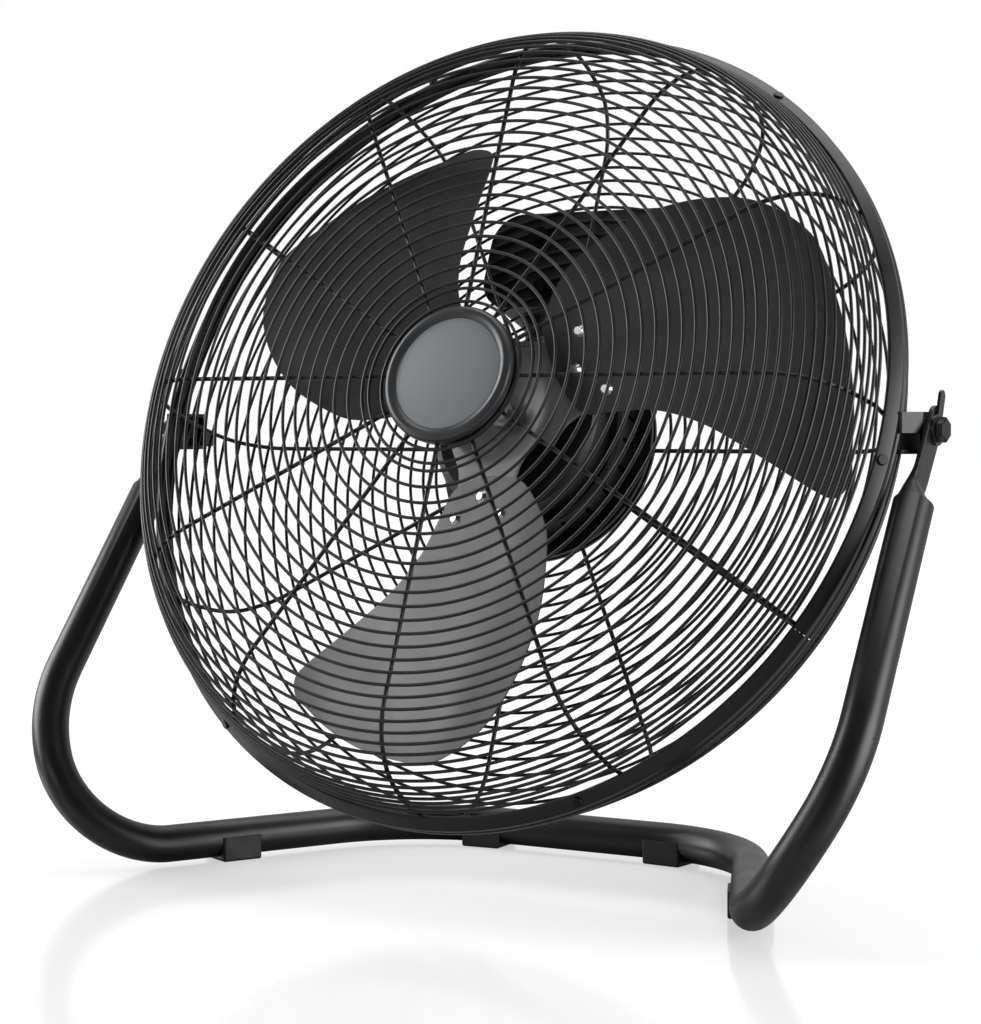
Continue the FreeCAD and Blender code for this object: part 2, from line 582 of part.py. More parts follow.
front_winding = revolved([(37, STATOR_Z[1]), (52, STATOR_Z[1]), (51, 4), (47, 6.5), (41, 6.5), (38, 4)])
rear_winding = revolved([(37, STATOR_Z[0]), (38, -29.5), (41, -31.5), (48, -31.5), (51, -29.5), (52, STATOR_Z[0])])
export_head("windings", [front_winding, rear_winding])

# Control box behind the rear grille
box_back = BOX_FRONT - BOX_DEPTH
box_inner_w = BOX_HALF_WIDTH - BOX_WALL
box_inner_h = BOX_HALF_HEIGHT - BOX_WALL
shell = rounded_plate(BOX_HALF_WIDTH, BOX_HALF_HEIGHT, BOX_CORNER, box_back, BOX_FRONT)
hollow = rounded_plate(box_inner_w, box_inner_h, BOX_CORNER - BOX_WALL, box_back - 1, BOX_FRONT - BOX_WALL)
shell = shell.cut(hollow)
posts = []
cover_screws = []
cover_holes = []
for post_x in (-64, 64):
    for post_y in (-22, 22):
        spot = Vector(post_x, post_y, 0)
        post = Part.makeCylinder(5, BOX_DEPTH - BOX_WALL, spot + Vector(0, 0, box_back))
        posts.append(post)
        cover_holes.append(Part.makeCylinder(1.5, 20, spot + Vector(0, 0, box_back - 8)))
        shank = Part.makeCylinder(1.5, 15, spot + Vector(0, 0, box_back - COVER_THICK))
        cap = Part.makeCylinder(3.4, 2.2, spot + Vector(0, 0, box_back - COVER_THICK - 2.2))
        cover_screws.append(shank.fuse(cap))
gland_z = BOX_FRONT - 26
gland_axis = Vector(0, -1, 0)
gland_face = Vector(GLAND_X, -BOX_HALF_HEIGHT, gland_z)
gland_hole = Part.makeCylinder(8, 10, gland_face + Vector(0, 5, 0), gland_axis)
grip_radius = 0.0
mount_spots = []
for near in (122.0, 160.0):
    index = min(range(len(rear_radii) - 1), key=lambda i: abs((rear_radii[i] + rear_radii[i + 1]) / 2 - near))
    grip_radius = (rear_radii[index] + rear_radii[index + 1]) / 2
    for angle in (75.0, 105.0):
        mount_spots.append(Vector(grip_radius * math.cos(math.radians(angle)),
                                  grip_radius * math.sin(math.radians(angle)), 0))
ring_front = BOX_FRONT + 2 * RING_WIRE
box_screws = []
box_washers = []
mount_holes = []
for spot in mount_spots:
    mount_holes.append(Part.makeCylinder(2.0, 20, spot + Vector(0, -BOX_CENTRE, BOX_FRONT - 10)))
    shank = Part.makeCylinder(2.0, ring_front + 1.2 - BOX_FRONT + 8, spot + Vector(0, 0, BOX_FRONT - 8))
    cap = Part.makeCylinder(3.8, 2.4, spot + Vector(0, 0, ring_front + 1.2))
    box_screws.append(shank.fuse(cap))
    ring_washer = Part.makeCylinder(8.0, 1.2, spot + Vector(0, 0, ring_front))
    box_washers.append(ring_washer.cut(Part.makeCylinder(2.0, 4, spot + Vector(0, 0, ring_front - 1))))
shell = shell.fuse(posts).cut(cover_holes + mount_holes + [gland_hole])
cover = rounded_plate(BOX_HALF_WIDTH, BOX_HALF_HEIGHT, BOX_CORNER, box_back - COVER_THICK, box_back)
switch_bore = Part.makeCylinder(SPINDLE_RADIUS + 1.0, 20, Vector(KNOB_X, 0, box_back - 10))
cover = cover.cut(cover_holes + [switch_bore])
switch = Part.makeBox(30, 28, 20, Vector(KNOB_X - 15, -14, box_back))
switch = switch.cut(Part.makeCylinder(SPINDLE_RADIUS + 0.05, 15, Vector(KNOB_X, 0, box_back - 1)))
spindle = Part.makeCylinder(SPINDLE_RADIUS, 24, Vector(KNOB_X, 0, box_back - COVER_THICK - 12))
knob_front = box_back - COVER_THICK - 0.5
knob_skirt = Part.makeCylinder(KNOB_RADIUS, 5, Vector(KNOB_X, 0, knob_front - 5))
knob_back = Vector(KNOB_X, 0, knob_front - KNOB_DEPTH)
knob_body = Part.makeCone(KNOB_RADIUS * 0.82, KNOB_RADIUS * 0.88, KNOB_DEPTH - 5, knob_back)
grip_half = KNOB_RADIUS * 0.8
knob_grip = Part.makeBox(6, 2 * grip_half, KNOB_DEPTH, knob_back - Vector(3, grip_half, 4))
knob = knob_skirt.fuse([knob_body, knob_grip])
knob = knob.cut(Part.makeCylinder(SPINDLE_RADIUS, 20, Vector(KNOB_X, 0, box_back - COVER_THICK - 12)))
capacitor = rounded_plate(20, 14, 3, BOX_FRONT - BOX_WALL - 24, BOX_FRONT - BOX_WALL)
capacitor.translate(Vector(-20, 0, 0))
gland = Part.makeCylinder(8, 8, gland_face + Vector(0, 5, 0), gland_axis)
gland_collar = hexagon(22, 0, 6)
gland_dome = Part.makeCone(9.5, 6.5, 13, Vector(0, 0, 6))
gland_body = gland_collar.fuse(gland_dome)
gland_body.rotate(Vector(0, 0, 0), X_AXIS, 90)
gland_body.translate(gland_face)
gland = gland.fuse(gland_body).cut(Part.makeCylinder(3.8, 60, gland_face + Vector(0, 20, 0), gland_axis))
for name, shapes in (("control_box", [shell]), ("control_box_cover", [cover]), ("box_cover_screws", cover_screws),
                     ("speed_switch", [switch]), ("switch_spindle", [spindle]), ("speed_knob", [knob]),
                     ("capacitor", [capacitor]), ("cable_gland", [gland])):
    for shape in shapes:
        shape.translate(Vector(0, BOX_CENTRE, 0))
    export_head(name, shapes)
export_head("box_mount_screws", box_screws)
export_head("box_mount_washers", box_washers)
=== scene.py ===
import json
import math

import bmesh
import bpy
from mathutils import Matrix, Vector
from mathutils.geometry import delaunay_2d_cdt


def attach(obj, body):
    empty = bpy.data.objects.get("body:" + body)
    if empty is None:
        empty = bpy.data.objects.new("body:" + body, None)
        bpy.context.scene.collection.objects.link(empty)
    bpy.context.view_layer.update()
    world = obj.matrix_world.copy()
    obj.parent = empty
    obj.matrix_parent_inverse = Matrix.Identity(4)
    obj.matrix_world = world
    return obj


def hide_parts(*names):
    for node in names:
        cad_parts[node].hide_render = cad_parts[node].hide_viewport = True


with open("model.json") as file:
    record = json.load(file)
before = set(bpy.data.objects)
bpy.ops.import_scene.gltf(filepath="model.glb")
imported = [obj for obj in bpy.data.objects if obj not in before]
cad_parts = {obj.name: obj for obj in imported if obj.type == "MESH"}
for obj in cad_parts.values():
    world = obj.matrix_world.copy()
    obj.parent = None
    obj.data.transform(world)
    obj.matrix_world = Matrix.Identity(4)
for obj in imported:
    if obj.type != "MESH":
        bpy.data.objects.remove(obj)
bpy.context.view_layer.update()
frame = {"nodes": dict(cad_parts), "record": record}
NODES = frame["nodes"]
MM = 0.001

# The head's own frame: local Z is the fan axis (front positive), local X is the pivot axis,
# local Y points up the face. Lengths below are in millimetres and are scaled here.
TILT = math.radians(21.2)
PIVOT_HEIGHT = 283.8
PIVOT_Y = 4.182
PIVOT = Vector((0.0, PIVOT_Y, PIVOT_HEIGHT)) * MM
HEAD = (Matrix.Translation(PIVOT) @ Matrix.Rotation(math.radians(90.0) - TILT, 4, "X")
        @ Matrix.Scale(MM, 4))
STAND = Matrix.Translation(Vector((0.0, PIVOT_Y * MM, 0.0))) @ Matrix.Scale(MM, 4)


# ---------------------------------------------------------------- materials

class Graph:
    """Short calls for building one Principled node tree."""

    def __init__(self, name):
        self.material = bpy.data.materials.new(name)
        self.material.use_nodes = True
        self.tree = self.material.node_tree
        self.nodes = self.tree.nodes
        self.links = self.tree.links
        self.principled = self.nodes["Principled BSDF"]
        self.coords = self.nodes.new("ShaderNodeTexCoord").outputs["Object"]

    def noise(self, scale, detail=3.0, roughness=0.55, stretch=None):
        node = self.nodes.new("ShaderNodeTexNoise")
        node.inputs["Scale"].default_value = scale
        node.inputs["Detail"].default_value = detail
        node.inputs["Roughness"].default_value = roughness
        vector = self.coords
        if stretch is not None:
            mapping = self.nodes.new("ShaderNodeMapping")
            mapping.inputs["Scale"].default_value = stretch
            self.links.new(vector, mapping.inputs["Vector"])
            vector = mapping.outputs["Vector"]
        self.links.new(vector, node.inputs["Vector"])
        return node.outputs["Fac"]

    def cells(self, scale):
        node = self.nodes.new("ShaderNodeTexVoronoi")
        node.inputs["Scale"].default_value = scale
        self.links.new(self.coords, node.inputs["Vector"])
        return node.outputs["Distance"]

    def spread(self, value, low_in, high_in, low_out, high_out):
        node = self.nodes.new("ShaderNodeMapRange")
        self.links.new(value, node.inputs["Value"])
        limits = {"From Min": low_in, "From Max": high_in, "To Min": low_out, "To Max": high_out}
        for key, number in limits.items():
            node.inputs[key].default_value = number
        return node.outputs["Result"]

    def mix(self, factor, dark, light):
        node = self.nodes.new("ShaderNodeMix")
        node.data_type = "RGBA"
        node.inputs["A"].default_value = (*dark, 1.0)
        node.inputs["B"].default_value = (*light, 1.0)
        self.links.new(factor, node.inputs["Factor"])
        return node.outputs["Result"]

    def bump(self, height, strength, distance):
        node = self.nodes.new("ShaderNodeBump")
        node.inputs["Strength"].default_value = strength
        node.inputs["Distance"].default_value = distance
        self.links.new(height, node.inputs["Height"])
        self.links.new(node.outputs["Normal"], self.principled.inputs["Normal"])

    def feed(self, socket, value):
        self.links.new(value, self.principled.inputs[socket])

    def put(self, socket, value):
        self.principled.inputs[socket].default_value = value


def powder_coat(name, dark, light, rough, grain=2600.0, specular=0.5):
    # painted steel: fine orange-peel grain, faint drift in colour and gloss
    g = Graph(name)
    g.feed("Base Color", g.mix(g.noise(9.0, 2.0), dark, light))
    g.feed("Roughness", g.spread(g.noise(38.0, 4.0), 0.3, 0.7, rough - 0.04, rough + 0.05))
    g.put("Specular IOR Level", specular)
    g.bump(g.noise(grain, 2.0), 0.10, 0.00010)
    return g.material


def machined(name, dark, light, rough, scale=900.0):
    # bare or plated metal: fine drawn streaks and uneven gloss
    g = Graph(name)
    streak = g.noise(scale, 2.0, stretch=(1.0, 1.0, 0.08))
    g.feed("Base Color", g.mix(streak, dark, light))
    g.put("Metallic", 1.0)
    g.feed("Roughness", g.spread(g.noise(120.0, 3.0), 0.3, 0.7, rough - 0.05, rough + 0.08))
    g.bump(streak, 0.1, 0.00005)
    return g.material


def moulded(name, dark, light, rough, grain=1400.0, depth=0.25):
    # textured plastic: pebbled mould grain over a faint drift in gloss
    g = Graph(name)
    g.feed("Base Color", g.mix(g.noise(14.0, 2.0), dark, light))
    g.feed("Roughness", g.spread(g.noise(60.0, 3.0), 0.3, 0.7, rough - 0.05, rough + 0.05))
    g.bump(g.cells(grain), depth, 0.00015)
    return g.material


MATERIALS = {
    "frame_paint": powder_coat("frame_paint", (0.007, 0.0078, 0.0086), (0.010, 0.0110, 0.0122), 0.35),
    "grille_paint": powder_coat("grille_paint", (0.010, 0.0105, 0.011), (0.017, 0.0175, 0.018), 0.34),
    "foot_plastic": moulded("foot_plastic", (0.014, 0.015, 0.016), (0.020, 0.021, 0.022), 0.5),
    "steel": machined("steel", (0.42, 0.42, 0.43), (0.62, 0.62, 0.63), 0.3),
    "zinc_fixings": machined("zinc_fixings", (0.70, 0.70, 0.70), (0.88, 0.88, 0.88), 0.16),
    "dark_fixings": machined("dark_fixings", (0.020, 0.020, 0.021), (0.045, 0.045, 0.046), 0.30),
    "lever_paint": powder_coat("lever_paint", (0.010, 0.010, 0.011), (0.016, 0.016, 0.017), 0.34),
    "washer_rubber": moulded("washer_rubber", (0.010, 0.010, 0.010), (0.016, 0.016, 0.016), 0.7),
    "badge_ring_plastic": moulded("badge_ring", (0.042, 0.044, 0.047), (0.054, 0.056, 0.060), 0.32,
                                  grain=3000.0, depth=0.04),
    "badge_face": powder_coat("badge_face", (0.270, 0.290, 0.308), (0.292, 0.312, 0.330), 0.42, grain=3600.0),
    "motor_paint": powder_coat("motor_paint", (0.006, 0.0062, 0.0065), (0.010, 0.0102, 0.0108), 0.38),
    "bearing_brass": machined("bearing_brass", (0.45, 0.30, 0.13), (0.62, 0.45, 0.22), 0.35),
    "winding_copper": machined("winding_copper", (0.45, 0.18, 0.07), (0.62, 0.28, 0.12), 0.35, 2400.0),
    "box_plastic": moulded("box_plastic", (0.010, 0.0105, 0.011), (0.015, 0.0155, 0.016), 0.55),
    "knob_plastic": moulded("knob_plastic", (0.018, 0.018, 0.019), (0.026, 0.026, 0.027), 0.42),
    "hub_paint": powder_coat("hub_paint", (0.180, 0.187, 0.195), (0.220, 0.228, 0.237), 0.32),
    "blade_paint": powder_coat("blade_paint", (0.034, 0.036, 0.040), (0.042, 0.045, 0.050), 0.36,
                               specular=0.7),
}
DARK_NODES = ("hoop_screws", "box_mount_washers", "motor_screws", "box_cover_screws", "box_mount_screws",
              "clamp_bolt_left", "clamp_bolt_right", "weld_nuts")
SLOT_OF = {entry["node"]: entry["material_slot"] for entry in frame["record"]["subparts"]}


def finish_of(node):
    if node in DARK_NODES:
        return MATERIALS["dark_fixings"]
    if node == "blade_rivets":
        return MATERIALS["zinc_fixings"]
    return MATERIALS[SLOT_OF[node]]


# ---------------------------------------------------------------- mesh helpers

BODY_OF = {node: body for body, nodes in frame["record"]["behaviour"]["bodies"].items() for node in nodes}


def make_piece(name, parts, node, *more_nodes, sharp):
    """One object from (vertices, faces) parts in the row frame. It stands for node and rides on its body."""
    mesh = bpy.data.meshes.new(name)
    vertices = []
    faces = []
    for part_vertices, part_faces in parts:
        offset = len(vertices)
        vertices.extend(part_vertices)
        faces.extend(tuple(i + offset for i in face) for face in part_faces)
    mesh.from_pydata(vertices, [], faces)
    bm = bmesh.new()
    bm.from_mesh(mesh)
    bmesh.ops.recalc_face_normals(bm, faces=bm.faces)
    bm.to_mesh(mesh)
    bm.free()
    mesh.polygons.foreach_set("use_smooth", [True] * len(mesh.polygons))
    mesh.set_sharp_from_angle(angle=math.radians(sharp))
    obj = bpy.data.objects.new(name, mesh)
    bpy.context.scene.collection.objects.link(obj)
    obj.data.materials.append(finish_of(node))
    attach(obj, BODY_OF[node])
    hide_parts(node, *more_nodes)
    return obj


def loft(sections, closed_path=False):
    """Skin through closed loops of equal length."""
    size = len(sections[0])
    vertices = [point for section in sections for point in section]
    faces = []
    count = len(sections)
    for i in range(count if closed_path else count - 1):
        a = i * size
        b = ((i + 1) % count) * size
        for k in range(size):
            m = (k + 1) % size
            faces.append((a + k, a + m, b + m, b + k))
    if not closed_path:
        faces.append(tuple(range(size))[::-1])
        faces.append(tuple((count - 1) * size + k for k in range(size)))
    return vertices, faces


def lathe(profile, segments=192, start=0.0, sweep=360.0):
    """Closed (radius, z) profile turned about the fan axis."""
    full = abs(sweep - 360.0) < 1e-6
    steps = segments if full else segments + 1
    sections = []
    for i in range(steps):
        angle = math.radians(start + sweep * i / segments)
        sections.append([HEAD @ Vector((r * math.cos(angle), r * math.sin(angle), z)) for r, z in profile])
    return loft(sections, closed_path=full)


def eased(profile, size, steps=3):
    """Round each corner of a closed profile by about size."""
    result = []
    count = len(profile)
    for i in range(count):
        before = Vector(profile[i - 1])
        corner = Vector(profile[i])
        after = Vector(profile[(i + 1) % count])
        if corner.x < 0.01:
            result.append(tuple(corner))
            continue
        first = corner + (before - corner).normalized() * min(size, (before - corner).length * 0.45)
        last = corner + (after - corner).normalized() * min(size, (after - corner).length * 0.45)
        for k in range(steps + 1):
            t = k / steps
            result.append(tuple(first * (1 - t) ** 2 + corner * 2 * t * (1 - t) + last * t ** 2))
    return result


def rounded_route(points, radii, arc_step=4.0):
    """Points along straight runs joined by tangent arcs."""
    points = [Vector(p) for p in points]
    route = [points[0]]
    for i, radius in enumerate(radii):
        corner = points[i + 1]
        incoming = (corner - points[i]).normalized()
        outgoing = (points[i + 2] - corner).normalized()
        turn = incoming.angle(outgoing)
        first = corner - incoming * radius * math.tan(turn / 2)
        centre = corner + (outgoing - incoming).normalized() * radius / math.cos(turn / 2)
        axis = incoming.cross(outgoing).normalized()
        steps = max(2, math.ceil(math.degrees(turn) / arc_step))
        for k in range(steps + 1):
            rotation = Matrix.Rotation(turn * k / steps, 3, axis)
            route.append(centre + rotation @ (first - centre))
    route.append(points[-1])
    return route


def bar_sections(route, radius, sides, matrix, first_side):
    """Circular sections along a route, kept from twisting."""
    sections = []
    side = Vector(first_side)
    for i, point in enumerate(route):
        before = route[max(i - 1, 0)]
        after = route[min(i + 1, len(route) - 1)]
        along = (after - before).normalized()
        side = (side - along * side.dot(along)).normalized()
        other = along.cross(side)
        loop = []
        for k in range(sides):
            angle = 2 * math.pi * k / sides
            loop.append(matrix @ (point + side * radius * math.cos(angle) + other * radius * math.sin(angle)))
        sections.append(loop)
    return sections


def turned(degrees):
    """The head's frame turned about the fan axis."""
    return HEAD @ Matrix.Rotation(math.radians(degrees), 4, "Z")


# ---------------------------------------------------------------- grilles

RING_WIRE = 1.05
RIB_WIRE = 1.4
RIB_COUNT = 12
RING_OFFSET = RING_WIRE + RIB_WIRE - 0.12
FACE_Z = 93.0
FACE_RADIUS = 204.0
SHOULDER_RADIUS = 54.0
SHOULDER_TURN = math.radians(72.0)
WIRE_SIDES = 12
RING_SEGMENTS = 288
INNER_RINGS = (49.0, 58.0)
GRADED_START = 63.0
GRADED_STEP = 10.3
GRADED_SHRINK = 0.196
CONE_END_Z = 38.0
FRONT_RIM_RING = (260.85, 29.5)
RIB_START_RADIUS = 40.0
RIB_TAIL_RADIUS = 258.4
RIB_TAIL_Z = 24.5
RIB_TAIL_BEND = 6.0
REAR_RIB = [(259.5, 0, 22.5), (258.6, 0, 8), (254.0, 0, -12), (246.5, 0, -27.5), (222, 0, -38), (72, 0, -38)]
REAR_BENDS = [40, 40, 30, 45]
REAR_RIM_RING = (261.95, 19.5)
REAR_RINGS_START_Z = 10.0
REAR_RINGS_END_RADIUS = 80.5
REAR_STEP = 10.0


def ring_wires(name, centres, *nodes):
    """One wire ring about the fan axis for each (radius, z) centre."""
    rings = []
    for radius, z in centres:
        section = []
        for k in range(WIRE_SIDES):
            angle = 2 * math.pi * k / WIRE_SIDES
            section.append((radius + RING_WIRE * math.cos(angle), z + RING_WIRE * math.sin(angle)))
        rings.append(lathe(section, segments=RING_SEGMENTS))
    make_piece(name, rings, *nodes, sharp=80)


def rib_wires(name, points, bends, node):
    """Twelve equal wires along a route in the plane of the fan axis."""
    route = rounded_route(points, bends)
    ribs = []
    for k in range(RIB_COUNT):
        placed = turned(360 / RIB_COUNT * k)
        ribs.append(loft(bar_sections(route, RIB_WIRE, WIRE_SIDES, placed, (0, 1, 0))))
    make_piece(name, ribs, node, sharp=80)


def front_profile(distance):
    """Ring centre at a distance from the fan axis along the front: flat face, rolled shoulder, cone."""
    arc = SHOULDER_RADIUS * SHOULDER_TURN
    if distance <= FACE_RADIUS:
        return distance, FACE_Z
    angle = min(distance - FACE_RADIUS, arc) / SHOULDER_RADIUS
    radius = FACE_RADIUS + SHOULDER_RADIUS * math.sin(angle)
    z = FACE_Z - SHOULDER_RADIUS * (1 - math.cos(angle))
    run = max(distance - FACE_RADIUS - arc, 0.0)
    return radius + run * math.cos(SHOULDER_TURN), z - run * math.sin(SHOULDER_TURN)


def front_ring_centres():
    """Flat inner rings, then rings whose spacing shrinks a little each time, then the rim ring."""
    centres = [(radius, FACE_Z) for radius in INNER_RINGS]
    distance = GRADED_START
    step = GRADED_STEP
    while front_profile(distance)[1] > CONE_END_Z:
        centres.append(front_profile(distance))
        distance += step
        step -= GRADED_SHRINK
    return centres + [FRONT_RIM_RING]


def rear_ring_centres():
    """Ring centres every 10 mm along the outside of the rear ribs."""
    fine = rounded_route(REAR_RIB, REAR_BENDS, 1.0)
    centres = [REAR_RIM_RING]
    travelled = 0.0
    due = None
    for before, point in zip(fine, fine[1:]):
        length = (point - before).length
        steps = max(1, math.ceil(length / 0.5))
        along = (point - before).normalized()
        for k in range(1, steps + 1):
            spot = before.lerp(point, k / steps)
            travelled += length / steps
            if due is None and spot.z <= REAR_RINGS_START_Z:
                due = travelled
            if due is not None and travelled >= due and spot.x > REAR_RINGS_END_RADIUS:
                centres.append((spot.x - along.z * RING_OFFSET, spot.z + along.x * RING_OFFSET))
                due += REAR_STEP
    return centres


rib_z = FACE_Z - RING_OFFSET
rib_bend = SHOULDER_RADIUS - RING_OFFSET
corner_radius = FACE_RADIUS + rib_bend * math.tan(SHOULDER_TURN / 2)
tail_z = rib_z - (RIB_TAIL_RADIUS - corner_radius) * math.tan(SHOULDER_TURN)
front_rib = [(RIB_START_RADIUS, 0, rib_z), (corner_radius, 0, rib_z), (RIB_TAIL_RADIUS, 0, tail_z),
             (RIB_TAIL_RADIUS, 0, RIB_TAIL_Z)]
ring_wires("front_ring_wires", front_ring_centres(), "front_face_rings", "front_side_rings")
rib_wires("front_rib_wires", front_rib, [rib_bend, RIB_TAIL_BEND], "front_grille_ribs")
rib_wires("rear_rib_wires", REAR_RIB, REAR_BENDS, "rear_grille_ribs")
ring_wires("rear_ring_wires", rear_ring_centres(), "rear_back_rings", "rear_skirt_rings")

# ---------------------------------------------------------------- hoop and badge

HOOP_OUTER = 268.2
HOOP_SHEET = 1.2
HOOP_SEAM_END = 329.6
HOOP_SWEEP = 359.85
BADGE_BACK_Z = 91.9
BADGE_DISC_Z = 96.0
BADGE_DISC_RADIUS = 36.6
hoop_outside = [(262.4, 32.4), (HOOP_OUTER, 26.3), (HOOP_OUTER, 23.2), (HOOP_OUTER - 1, 22.2),
                (HOOP_OUTER - 1, 20.8), (HOOP_OUTER, 19.8), (HOOP_OUTER, 16.8), (264.6, 13.2)]
hoop_profile = hoop_outside + [(r - HOOP_SHEET, z) for r, z in reversed(hoop_outside)]
hoop_band = lathe(eased(hoop_profile, 0.5), segments=360, start=HOOP_SEAM_END, sweep=HOOP_SWEEP)
make_piece("hoop_band", [hoop_band], "hoop", sharp=30)

badge_rim = [(BADGE_DISC_RADIUS, BADGE_BACK_Z), (45, BADGE_BACK_Z), (45, 94.5), (44.2, 96.6), (42.4, 98.0),
             (40.8, 98.4), (39.2, 98.0), (37.6, 97.0), (BADGE_DISC_RADIUS, 96.2)]
badge_plate = [(0, BADGE_BACK_Z), (BADGE_DISC_RADIUS, BADGE_BACK_Z), (BADGE_DISC_RADIUS, BADGE_DISC_Z),
               (0, BADGE_DISC_Z)]
make_piece("badge_rim", [lathe(eased(badge_rim, 0.8, 4))], "badge_ring", sharp=50)
make_piece("badge_plate", [lathe(eased(badge_plate, 0.4))], "badge_disc", sharp=35)

# ---------------------------------------------------------------- stand

TUBE_RADIUS = 12.0
TUBE_CORNERS = [(0, 74, 13.9), (128, 74, 13.9), (236.7, -158.6, 13.9), (284.4, -134.4, 99.9)]
TUBE_TOP = Vector((278.6, 0, PIVOT_HEIGHT))
TUBE_BENDS = [104, 65.5, 107]
SHOULDER = 53.0
TAB_START = 41.0
TAB_RADIUS = 9.5
TAB_CROWN = 5.9
INNER_SLOPE_START = 30.0
TAB_HALF_THICK = 1.75
TAB_X = 279.75
TAB_SQUARENESS = 0.3
TAB_STRAIGHT = 10.0
CROWN_STEPS = 13
PRESSED_STEPS = 26
TUBE_SIDES = 64


def smoothstep(t):
    t = min(max(t, 0.0), 1.0)
    return t * t * (3 - 2 * t)


def stand_half(side):
    """Tube from the flattened tab down the arm, round the bends and along to the middle of the rear bar."""
    arm = (TUBE_TOP - Vector(TUBE_CORNERS[-1])).normalized()
    tab_up = Vector((0, arm.y, arm.z)).normalized()
    tab_side = Vector((1, 0, 0)).cross(tab_up)
    outward = Vector((1, 0, 0))
    pivot = Vector((TAB_X, 0, PIVOT_HEIGHT))
    placed = STAND @ Matrix.Diagonal((side, 1, 1, 1))
    sections = []

    def pressed_section(centre, half_width, outer, inner, squareness):
        """A rounded flat section. outer and inner are its depths on the stand's outside and inside."""
        loop = []
        for k in range(TUBE_SIDES):
            angle = 2 * math.pi * k / TUBE_SIDES
            c = math.cos(angle)
            s = math.sin(angle)
            across = half_width * math.copysign(abs(c) ** squareness, c)
            depth = math.copysign(abs(s) ** squareness, s) * (inner if s > 0 else outer)
            loop.append(placed @ (centre + tab_side * across - outward * depth))
        return loop

    for k in range(CROWN_STEPS):
        angle = math.radians(90.0 / (CROWN_STEPS - 1) * k)
        lift = TAB_CROWN + TAB_RADIUS * math.cos(angle)
        half_width = max(TAB_RADIUS * math.sin(angle), 0.4)
        sections.append(pressed_section(pivot + tab_up * lift, half_width, TAB_HALF_THICK, TAB_HALF_THICK,
                                        TAB_SQUARENESS))
    shoulder = TUBE_TOP - arm * SHOULDER
    swell = TUBE_RADIUS - TAB_HALF_THICK
    for k in range(PRESSED_STEPS + 1):
        down = TAB_STRAIGHT + (SHOULDER - TAB_STRAIGHT) * k / PRESSED_STEPS
        centre = pivot - tab_up * down
        centre = centre.lerp(shoulder, smoothstep((down - TAB_START) / (SHOULDER - TAB_START)))
        outer_t = min(max((down - TAB_START) / (SHOULDER - TAB_START), 0.0), 1.0)
        inner_t = min(max((down - INNER_SLOPE_START) / (SHOULDER - INNER_SLOPE_START), 0.0), 1.0)
        outer = TAB_HALF_THICK + swell * math.sin(outer_t * math.pi / 2) ** 1.2
        inner = TAB_HALF_THICK + swell * (0.55 * smoothstep(inner_t) + 0.45 * inner_t ** 2)
        half_width = TAB_RADIUS + (TUBE_RADIUS - TAB_RADIUS) * math.sin(outer_t * math.pi / 2)
        squareness = TAB_SQUARENESS + (1 - TAB_SQUARENESS) * smoothstep(inner_t)
        sections.append(pressed_section(centre, half_width, outer, inner, squareness))
    route = rounded_route([shoulder] + TUBE_CORNERS[::-1], TUBE_BENDS[::-1], 3.0)
    sections += bar_sections(route[1:], TUBE_RADIUS, TUBE_SIDES, placed, tab_side)
    return loft(sections)


make_piece("stand_right", [stand_half(1)], "stand_tube_right", sharp=50)
make_piece("stand_left", [stand_half(-1)], "stand_tube_left", sharp=50)

# ---------------------------------------------------------------- blades

BLADE_COUNT = 3
BLADE_START = 30
BLADE_Z = 30.0
BLADE_SLOPE = 0.3
BLADE_HALF = 0.6
BLADE_TIP = 228.0
BLADE_LEADING = [(44, -4), (45, 14), (52, 36), (78, 58), (105, 65), (140, 66), (177, 56), (208, 36)]
BLADE_TIP_ANGLES = (0.5, -8, -17, -26, -33)
BLADE_TRAILING = [(183, -138), (170, -143), (160, -133), (141, -103), (117, -68), (93, -46), (69, -35),
                  (50, -26)]
CREASE_START = (60.0, 46.0)
CREASE_SLOPE = -0.264
LIP_BEND = 0.10
LIP_BLEND = 3.0
GRID_STEP = 4.0


def blade_height(x, y):
    """Axial height of the blade's middle surface: a pitched plane with a lip bent back past a crease."""
    past = (y - CREASE_START[1] - CREASE_SLOPE * (x - CREASE_START[0])) / math.hypot(CREASE_SLOPE, 1.0)
    lip = LIP_BEND * LIP_BLEND * math.log1p(math.exp(min(past / LIP_BLEND, 40.0)))
    return BLADE_Z + BLADE_SLOPE * y - lip


def closed_curve(points, steps):
    """Catmull-Rom curve through a closed list of points."""
    curve = []
    count = len(points)
    for i in range(count):
        p0, p1, p2, p3 = (Vector(points[(i + k) % count]) for k in (-1, 0, 1, 2))
        for k in range(steps):
            t = k / steps
            curve.append(0.5 * (2 * p1 + (p2 - p0) * t + (2 * p0 - 5 * p1 + 4 * p2 - p3) * t ** 2
                                + (3 * p1 - 3 * p2 + p3 - p0) * t ** 3))
    return curve


def inside(point, outline):
    """Whether a point is within the outline and not crowding its edge."""
    crossings = 0
    for a, b in zip(outline, outline[1:] + outline[:1]):
        if (point - a).length < 0.55 * GRID_STEP:
            return False
        if (a.y > point.y) != (b.y > point.y) and point.x < a.x + (b.x - a.x) * (point.y - a.y) / (b.y - a.y):
            crossings += 1
    return crossings % 2 == 1


